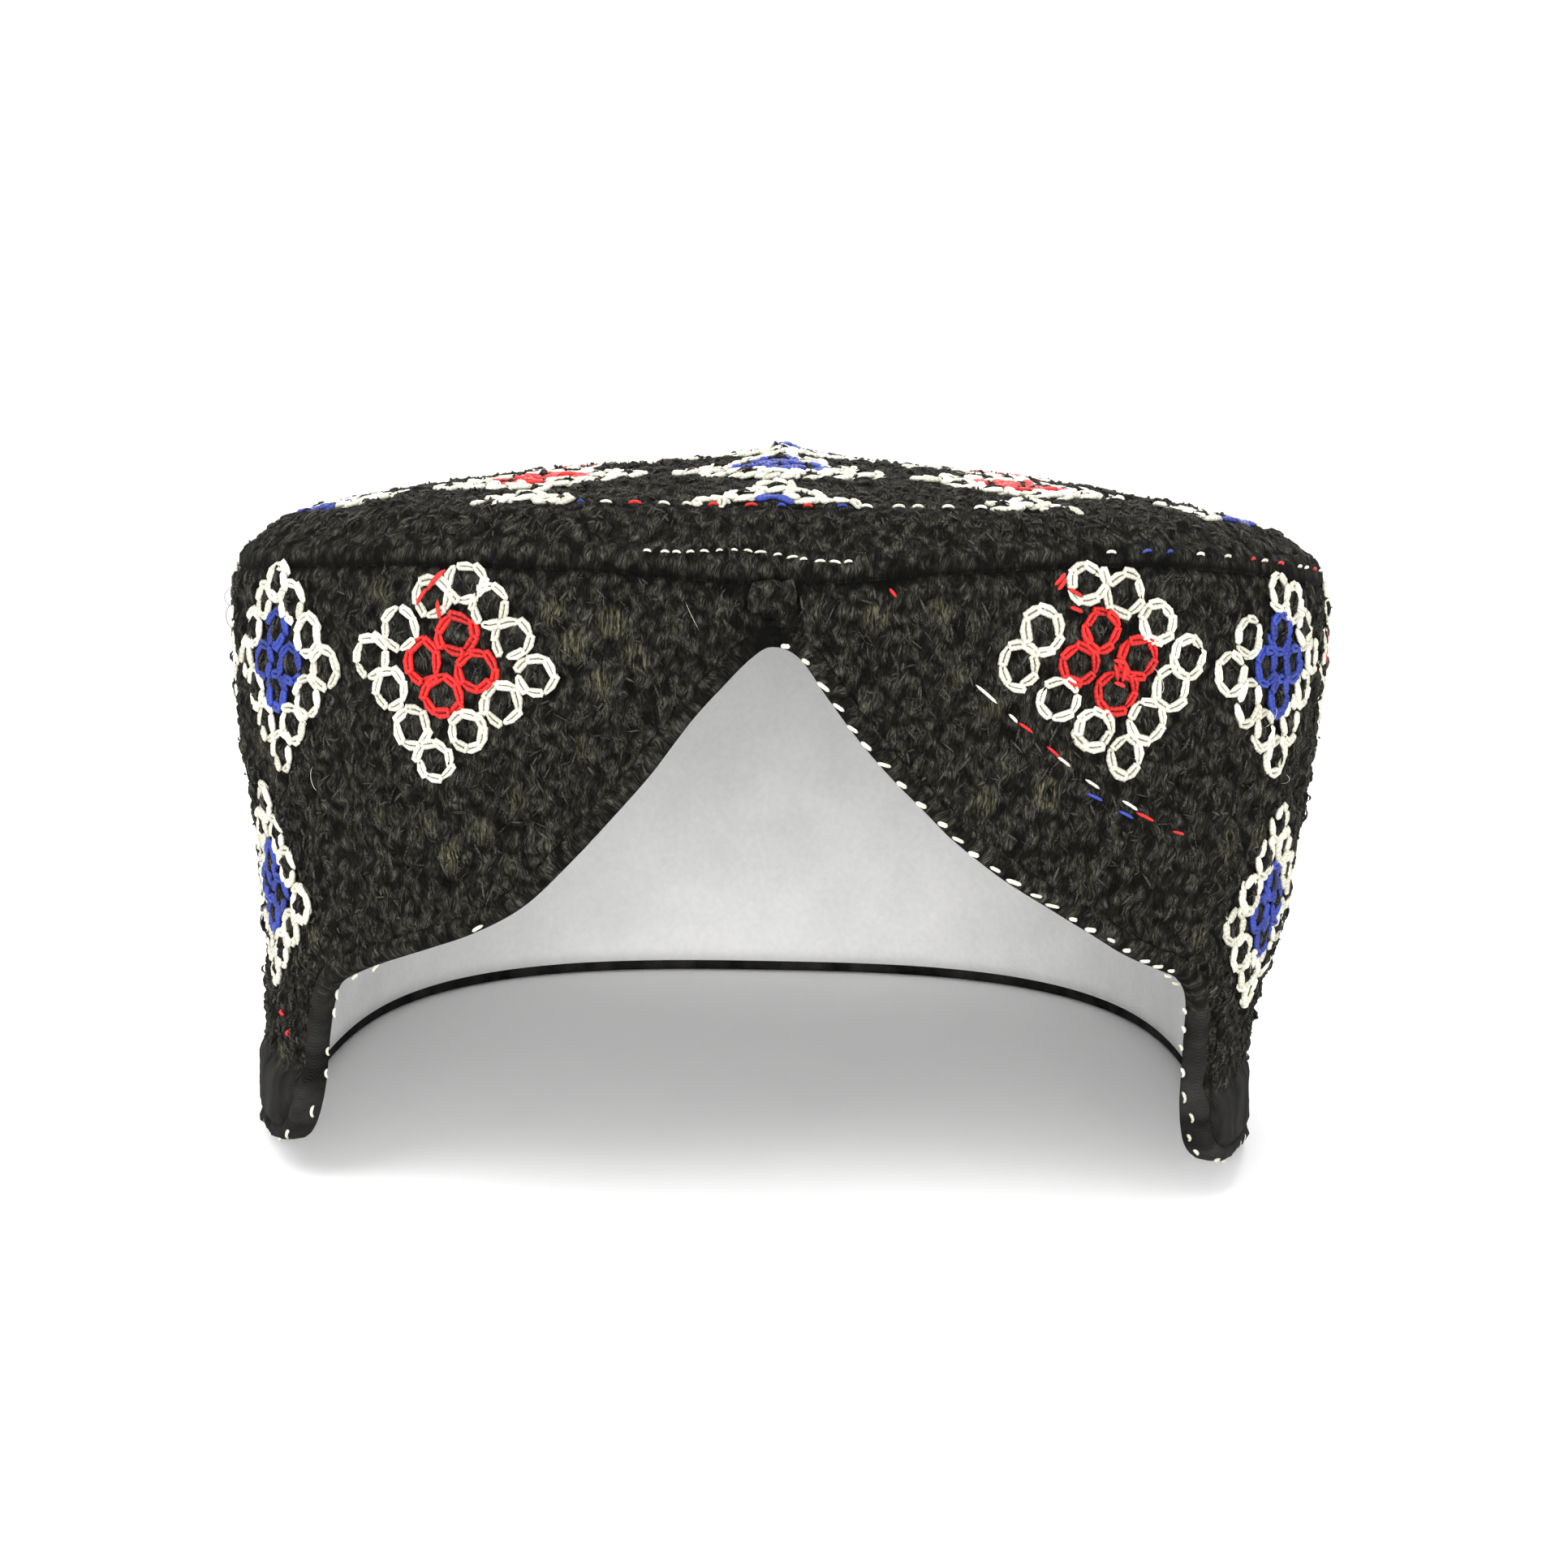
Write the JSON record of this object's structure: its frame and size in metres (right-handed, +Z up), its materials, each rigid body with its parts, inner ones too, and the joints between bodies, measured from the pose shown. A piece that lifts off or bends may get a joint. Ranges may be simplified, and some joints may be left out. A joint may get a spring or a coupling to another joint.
{
  "type": "sindhi cap",
  "caption": "Black embroidered cap with a low domed crown, a shoulder strip and a deep wall cut out in a pointed arch over the forehead.",
  "frame": {"origin": "middle of the cap's length and width on the surface that the hem rests on", "axes": "+Z up out of the crown, +X across to the right of someone who looks at the front, the front with the arch faces -Y"},
  "size_m": [0.169, 0.192, 0.1063],
  "materials": {
    "black_embroidery": "matt black cotton cloth covered with raised black thread stitches",
    "black_plain": "matt black cotton cloth with short vertical thread strokes",
    "white_cotton": "matt pale cotton plain weave",
    "white_thread": "ivory chain stitch thread with a slight sheen",
    "red_thread": "bright red chain stitch thread with a slight sheen",
    "blue_thread": "royal blue chain stitch thread with a slight sheen"
  },
  "bodies": {
    "root": {"crown_disc": "black_embroidery", "shoulder_strip": "black_plain", "side_wall": "black_embroidery", "edge_binding": "black_plain", "wall_lining": "white_cotton", "crown_lining": "white_cotton"}
  },
  "joints": []
}
